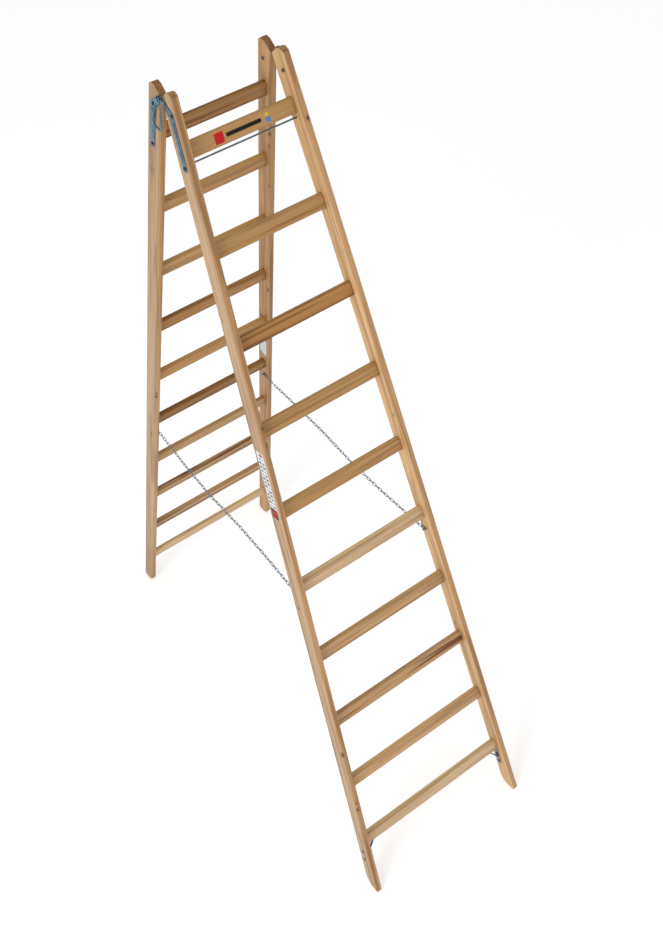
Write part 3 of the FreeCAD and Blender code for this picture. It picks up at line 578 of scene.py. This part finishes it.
def paint_stiles():
    for number, (section, hand) in enumerate(STILE_KNOTS):
        side = local_side(section, hand)
        # The side that holds knots looks left on every stile.
        shown = side if hand == "left" else -side
        # The edge that holds knots looks to the front of the ladder.
        face = STILE_DEPTH if section == "front" else 0.0
        knots = []
        for where, place, down, size, weight in STILE_KNOTS[(section, hand)]:
            if where == "side":
                spot = (shown * STILE_THICK / 2, place)
            else:
                spot = (-shown * place, face)
            knots.append((*spot, -down, size, weight))
        edge_tint, side_tint = STILE_TINTS[(section, hand)]
        name = "stile_%s_%s" % (section, hand)
        seed = STILE_SEED + STILE_SEED_STEP * number
        assign(name, wood_material(
            "wood_" + name, stile_frame(section, hand), seed, edge_tint, STILE_VEIN,
            knots=knots, side_tint=side_tint))


def paint_rungs():
    # A rung's grain runs across the ladder; its own y axis points up the section.
    lay = Matrix(((0, 0, 1, 0), (1, 0, 0, 0), (0, 1, 0, 0), (0, 0, 0, 1)))
    for section, tints in RUNG_TINTS.items():
        for number, tint in enumerate(tints, 1):
            down = RUNG_FIRST + (number - 1) * RUNG_PITCH
            middle = Matrix.Translation((0, RUNG_DEPTH, -down))
            name = "rung_%s_%02d" % (section, number)
            seed = RUNG_SEED_STEP * number + (REAR_SEED if section == "rear" else 0.0)
            vein = RUNG_VEINS.get((section, number), PLAIN_VEIN)
            # Painted light on the top, left off the rungs with dark veins.
            top_light = 0.0 if vein > DARK_VEIN else 1.0
            local = section_frame(section) @ middle @ lay
            assign(name, wood_material("wood_" + name, local, seed, tint, vein, top_light=top_light))


# ------------------------------------------------------------------ zinc-plated steel

RUBBED_ZINC = (0.66, 0.76, 0.82, 1)
RUBBED_SHARE = 0.55
# Painted shade between touching links.
LINK_SHADE = (0.16, 0.17, 0.18, 1)
PIT_SCALE = 2500
PIT_SHARE = 0.6
CLOUD_DETAIL = (3.0, 0.6)
TONE_RANGE = (0.25, 0.75)
CLOUD_RANGE = (0.3, 0.7)
STEEL_BUMP = (0.25, 0.0001)
# Steels: light and dark tone, cloud features per metre, least and greatest roughness, the reach of
# the rubbed edges and the reach of the painted shade between touching links.
STEELS = {
    "zinc_strap": ((0.145, 0.275, 0.35), (0.055, 0.13, 0.19), 45, 0.20, 0.38, 0.0006, 0.0),
    "zinc_bolt": ((0.24, 0.33, 0.39), (0.10, 0.15, 0.19), 160, 0.22, 0.40, 0.0004, 0.0),
    "dark_screw": ((0.06, 0.08, 0.10), (0.025, 0.03, 0.035), 200, 0.30, 0.45, 0.0004, 0.0),
    "zinc_rod": ((0.20, 0.27, 0.31), (0.10, 0.14, 0.17), 90, 0.26, 0.42, 0.0006, 0.0),
    "zinc_chain": ((0.46, 0.53, 0.57), (0.12, 0.15, 0.18), 260, 0.20, 0.40, 0.0002, 0.004),
}
# The starts of the names of the nodes that each steel covers.
STEEL_NODES = {
    "zinc_strap": ("hinge_strap", "hinge_pin", "bucket_hook", "corner_brackets"),
    "zinc_bolt": (
        "hinge_bolts", "hinge_nuts", "chain_bolts", "chain_spacers", "tie_rod_nuts",
        "bracket_bolts", "bracket_nuts", "bracket_screws",
    ),
    "dark_screw": ("strap_screws",),
}


def steel_material(name):
    """Bright zinc with a blue cast, cloudy tone, rubbed edges and fine pitting."""
    light, dark, grain, smoothest, roughest, edge, shade_reach = STEELS[name]
    material, tree, shader = new_material(name)
    spot = node(tree, "ShaderNodeTexCoord").outputs["Object"]
    cloud = stretched_noise(tree, spot, grain, grain, *CLOUD_DETAIL).outputs[0]
    fine = stretched_noise(tree, spot, PIT_SCALE, PIT_SCALE).outputs[0]
    mask, normal = edge_mask(tree, edge)
    colour = blend_colour(tree, spread(tree, cloud, *TONE_RANGE), (*light, 1), (*dark, 1))
    colour = shade(tree, colour, mask, RUBBED_SHARE, RUBBED_ZINC, "MIX")
    if shade_reach:
        # Painted shade in the nips between touching links.
        colour = blend_colour(tree, nook_shade_mask(tree, shade_reach), colour, LINK_SHADE, "MULTIPLY")
    feed(tree, shader.inputs["Base Color"], colour)
    shader.inputs["Metallic"].default_value = 1.0
    rough = spread(tree, cloud, *CLOUD_RANGE, smoothest, roughest)
    feed(tree, shader.inputs["Roughness"], rough)
    height = maths(tree, "MULTIPLY_ADD", fine, PIT_SHARE, cloud)
    add_bump(tree, shader, height, *STEEL_BUMP, normal)
    return material


def paint_steel():
    for steel, starts in STEEL_NODES.items():
        material = steel_material(steel)
        for name in NODES:
            if name.startswith(starts):
                assign(name, material)
    assign("tie_rod", steel_material("zinc_rod"))


# ------------------------------------------------------------------ chains

# The chain bolts' place down from the hinge and out from the section's inner face; how far the
# middle sags; links in each half; the first link's distance from its bolt; the chain's distance
# from the stile; and the sideways set of the halves.
CHAIN_DOWN = 1.615
CHAIN_DEPTH = 0.022
CHAIN_SAG = 0.012
CHAIN_LINKS = 30
CHAIN_FIRST = 0.006
CHAIN_INSET = 0.0058
CHAIN_SET = 0.0043
# Going away from the bolt, the set grows over the first distance; it ends at the second, having
# fallen away over the third.
SET_GROWTH = 0.25
SET_END = 0.484
SET_DECAY = 0.106
# Going away from the bolt, the chain twists by an eighth of a turn over this many links.
TWIST_LINKS = 7
LINK_SLACK = 0.0004
LINK_WIRE = 0.0026
LINK_WIDE = 0.010
LINK_STEPS = 10
WIRE_STEPS = 10


def ease(value):
    """From 0 to 1 with a level start and end."""
    value = min(max(value, 0.0), 1.0)
    return value * value * (3 - 2 * value)


def link_path(inner_length):
    """Centre line of one oval link in its x-y plane, as (point, outward direction)."""
    bend = (LINK_WIDE - LINK_WIRE) / 2
    straight = inner_length / 2 - bend + LINK_WIRE / 2
    line = []
    for end in (1, -1):
        for step in range(LINK_STEPS + 1):
            angle = -math.pi / 2 + math.pi * step / LINK_STEPS
            if end < 0:
                angle += math.pi
            outward = Vector((math.cos(angle), math.sin(angle), 0))
            line.append((Vector((end * straight, 0, 0)) + outward * bend, outward))
    return line


def add_link(mesh, line, place):
    """Sweep the wire's round section along the link's centre line."""
    rings = []
    for point, outward in line:
        ring = []
        for step in range(WIRE_STEPS):
            angle = 2 * math.pi * step / WIRE_STEPS
            offset = outward * math.cos(angle) + Vector((0, 0, math.sin(angle)))
            ring.append(mesh.verts.new(place @ (point + offset * LINK_WIRE / 2)))
        rings.append(ring)
    for index, ring in enumerate(rings):
        after = rings[(index + 1) % len(rings)]
        for step in range(WIRE_STEPS):
            other = (step + 1) % WIRE_STEPS
            mesh.faces.new((ring[step], after[step], after[other], ring[other]))


def side_set(reach):
    """Sideways set that lets the two halves pass where they cross when folded."""
    return CHAIN_SET * min(ease(reach / SET_GROWTH), ease((SET_END - reach) / SET_DECAY))


def fill_chain(mesh, hand, section):
    """One chain half, from its bolt inward; the front half holds the middle link too."""
    half_span = HALF_GAP + CHAIN_DEPTH * math.cos(LEAN) + CHAIN_DOWN * math.sin(LEAN)
    height = HINGE_HEIGHT - CHAIN_DOWN * math.cos(LEAN) + CHAIN_DEPTH * math.sin(LEAN)
    inner_face = HALF_WIDTH + CHAIN_DOWN * math.tan(SPLAY) - STILE_THICK / math.cos(SPLAY)
    pitch = (half_span - CHAIN_FIRST) / CHAIN_LINKS
    line = link_path(pitch + LINK_SLACK)
    inward = 1 if section == "front" else -1
    for number in range(CHAIN_LINKS + (1 if section == "front" else 0)):
        reach = CHAIN_FIRST + number * pitch
        left = 1 - reach / half_span
        drop = CHAIN_SAG * (1 - left * left)
        slope = math.atan(2 * CHAIN_SAG / half_span * left)
        across = HANDS[hand] * (inner_face - CHAIN_INSET - inward * side_set(reach))
        spot = Vector((across, -inward * (half_span - reach), height - drop))
        twist = math.pi / 2 * ((number + 1) % 2) + math.pi / 4 * ease(number / TWIST_LINKS)
        turned = Matrix.Rotation(inward * math.pi / 2, 4, "Z") @ Matrix.Rotation(slope, 4, "Y")
        turned = turned @ Matrix.Rotation(twist, 4, "X")
        add_link(mesh, line, Matrix.Translation(spot) @ turned)


def make_chains():
    material = steel_material("zinc_chain")
    for hand in HANDS:
        for section in TURN:
            mesh = bmesh.new()
            fill_chain(mesh, hand, section)
            piece = finish_mesh("links_%s_%s" % (hand, section), mesh, [material])
            for face in piece.data.polygons:
                face.use_smooth = True
            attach(piece, "chain_%s_%s_half" % (hand, section))
            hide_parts("chain_%s_%s" % (hand, section))


def finish_mesh(name, mesh, materials):
    bmesh.ops.recalc_face_normals(mesh, faces=mesh.faces)
    data = bpy.data.meshes.new(name)
    mesh.to_mesh(data)
    mesh.free()
    for material in materials:
        data.materials.append(material)
    piece = bpy.data.objects.new(name, data)
    bpy.context.scene.collection.objects.link(piece)
    return piece


# ------------------------------------------------------------------ labels

STILE_MIDDLE = 0.031
LABEL_FILM = 0.00025
LABEL_INK = 0.00004
FILM_CORNER = 0.003
INK_BUMP = (0.15, 0.0002)
INK_SPECULAR = 0.15
INK_ROUGH = (0.50, 0.70)
# The ink's blotches and the specks in them, as noises, and the stretch over which they darken it.
BLOTCH = (180, 180, 4.0, 0.65)
SPECK = (1600, 1600)
SPECK_SHARE = 0.4
BLOTCH_RANGE = (0.38, 0.68)
# Ink starts a little inside its film, or a little off bare wood.
INK_ROOT = 0.00001
BARE_LIFT = 0.00002
CORNER_STEPS = 4
STILE_LABEL = (0.040, 0.235)
STILE_LABEL_DOWN = 1.1575
REAR_LABEL = (0.040, 0.095)
REAR_LABEL_DOWN = 1.4335
RUNG_LABEL = (0.170, 0.030)
BAR_ROWS = 12
BAR_TOP = 0.080
BAR_PITCH = 0.0138
BAR_SIDE = 0.009
BAR_WIDE = 0.0145
BAR_STEP = 0.0020
BAR_TALL = 0.0075
BAR_CORNER = 0.0010
LINE_ROWS = 8
LINE_TOP = 0.034
LINE_PITCH = 0.009
LINE_SIDE = -0.002
LINE_WIDE = 0.026
LINE_STEP = 0.004
LINE_TALL = 0.0025
LINE_CORNER = 0.0008
# Printed patches: ink, place across and along from the label's middle, width, height and corner
# radius. They are colour blocks and plain bars only.
STILE_PATCHES = (
    ("black", 0.0, -0.0985, 0.038, 0.036, 0.002),
    ("red", 0.004, 0.108, 0.020, 0.009, 0.0015),
    ("blue", -0.006, 0.095, 0.008, 0.008, 0.0035),
    ("grey", 0.008, 0.095, 0.014, 0.004, 0.0008),
)
LAST_PATCH = ("red", 0.0, -0.0985, 0.024, 0.024, 0.002)
RUNG_PATCHES = (
    ("red", -0.0715, 0.0, 0.027, 0.030, 0.003),
    ("black", 0.0030, 0.0, 0.108, 0.011, 0.004),
    ("yellow", 0.0755, 0.008, 0.010, 0.009, 0.002),
    ("blue", 0.0770, -0.006, 0.015, 0.015, 0.003),
)
# Two tones of each ink, which blotch together.
INKS = {
    "film": ((0.80, 0.82, 0.84), (0.66, 0.69, 0.72)),
    "film_blue": ((0.66, 0.72, 0.80), (0.50, 0.57, 0.66)),
    "red": ((0.62, 0.020, 0.022), (0.42, 0.012, 0.014)),
    "black": ((0.006, 0.006, 0.007), (0.022, 0.021, 0.020)),
    "grey": ((0.34, 0.36, 0.38), (0.50, 0.52, 0.54)),
    "slate": ((0.045, 0.055, 0.065), (0.12, 0.14, 0.17)),
    "blue": ((0.10, 0.20, 0.48), (0.16, 0.28, 0.55)),
    "yellow": ((0.72, 0.52, 0.06), (0.58, 0.40, 0.05)),
}


def ink_material(name):
    """Printed film: blotchy ink, slightly worn, with a faint surface ripple."""
    material, tree, shader = new_material("print_" + name)
    light, dark = INKS[name]
    spot = node(tree, "ShaderNodeTexCoord").outputs["Object"]
    blotch = stretched_noise(tree, spot, *BLOTCH).outputs[0]
    fine = stretched_noise(tree, spot, *SPECK).outputs[0]
    mix = spread(tree, add_scaled(tree, blotch, fine, 0.5, SPECK_SHARE), *BLOTCH_RANGE)
    feed(tree, shader.inputs["Base Color"], blend_colour(tree, mix, (*light, 1), (*dark, 1)))
    feed(tree, shader.inputs["Roughness"], spread(tree, blotch, *CLOUD_RANGE, *INK_ROUGH))
    shader.inputs["Specular IOR Level"].default_value = INK_SPECULAR
    add_bump(tree, shader, blotch, *INK_BUMP)
    return material


def add_patch(mesh, place, across, along, low, high, corner, slot):
    """Thin plate with rounded corners, its outline in the place's x and y, its height in z."""
    outline = []
    for x_sign, y_sign, start in ((1, 1, 0), (-1, 1, 90), (-1, -1, 180), (1, -1, 270)):
        x = across[1] - corner if x_sign > 0 else across[0] + corner
        y = along[1] - corner if y_sign > 0 else along[0] + corner
        for step in range(CORNER_STEPS + 1):
            angle = math.radians(start + 90 * step / CORNER_STEPS)
            outline.append((x + corner * math.cos(angle), y + corner * math.sin(angle)))
    bottom = [mesh.verts.new(place @ Vector((x, y, low))) for x, y in outline]
    top = [mesh.verts.new(place @ Vector((x, y, high))) for x, y in outline]
    faces = [mesh.faces.new(bottom), mesh.faces.new(top)]
    for index in range(len(outline)):
        after = (index + 1) % len(outline)
        faces.append(mesh.faces.new((bottom[index], bottom[after], top[after], top[index])))
    for face in faces:
        face.material_index = slot


def make_label(name, body, place, size, film, patches, inks):
    """A label piece: a film, if it has one, and printed patches."""
    mesh = bmesh.new()
    names = []
    across, along = size[0] / 2, size[1] / 2
    floor = BARE_LIFT
    if film:
        names.append(film)
        floor = LABEL_FILM
        add_patch(mesh, place, (-across, across), (-along, along), 0.0, LABEL_FILM, FILM_CORNER, 0)
    for level, (ink, x, y, wide, tall, corner) in enumerate(patches):
        if ink not in names:
            names.append(ink)
        # Later patches stand a hair higher, so that overlapping ones stay apart.
        top = floor + LABEL_INK * (1 + level / len(patches))
        span_x = (x - wide / 2, x + wide / 2)
        span_y = (y - tall / 2, y + tall / 2)
        add_patch(mesh, place, span_x, span_y, floor - INK_ROOT, top, corner, names.index(ink))
    piece = finish_mesh("print_" + name, mesh, [inks[ink] for ink in names])
    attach(piece, body)
    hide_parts(name)


def label_place(local, across, along, outward, origin):
    """Frame whose x, y and z are the given axes of a local frame, at a point of that frame."""
    turned = Matrix((across, along, outward)).transposed().to_4x4()
    return local @ Matrix.Translation(origin) @ turned


def stile_label_place(section, hand, inside, middle):
    """On a stile's inner or outer side, with the label's middle that far below the hinge."""
    side = local_side(section, hand) * (-1 if inside else 1)
    origin = (side * STILE_THICK / 2, STILE_MIDDLE, -middle)
    return label_place(stile_frame(section, hand), (0, 1, 0), (0, 0, 1), (side, 0, 0), origin)


def stile_bars():
    """Two columns of bars, some of them paler."""
    bars = []
    for row in range(BAR_ROWS):
        height = BAR_TOP - BAR_PITCH * row
        for column in range(2):
            ink = "grey" if (row + column) % 4 == 3 else "slate"
            across = BAR_SIDE * (2 * column - 1)
            wide = BAR_WIDE - BAR_STEP * ((row + 2 * column) % 3)
            bars.append((ink, across, height, wide, BAR_TALL, BAR_CORNER))
    return bars


def rear_lines():
    """One column of thin lines of three lengths."""
    lines = []
    for row in range(LINE_ROWS):
        height = LINE_TOP - LINE_PITCH * row
        wide = LINE_WIDE - LINE_STEP * (row % 3)
        lines.append(("grey", LINE_SIDE, height, wide, LINE_TALL, LINE_CORNER))
    return lines


def make_labels(inks):
    place = stile_label_place("front", "left", False, STILE_LABEL_DOWN)
    patches = [*STILE_PATCHES, *stile_bars(), LAST_PATCH]
    make_label("label_front_stile", "front_section", place, STILE_LABEL, "film", patches, inks)
    place = stile_label_place("rear", "right", True, REAR_LABEL_DOWN)
    patches = rear_lines()
    make_label("label_rear_stile", "rear_section", place, REAR_LABEL, "film_blue", patches, inks)
    # The first rung is printed straight onto the wood.
    origin = (0, RUNG_DEPTH + RUNG_HALF, -RUNG_FIRST)
    place = label_place(section_frame("front"), (-1, 0, 0), (0, 0, 1), (0, 1, 0), origin)
    make_label("label_front_rung", "front_section", place, RUNG_LABEL, None, RUNG_PATCHES, inks)


# ------------------------------------------------------------------ build

make_camera()
make_floor()
make_studio()
make_lights()
paint_stiles()
paint_rungs()
paint_steel()
make_chains()
make_labels({ink: ink_material(ink) for ink in INKS})
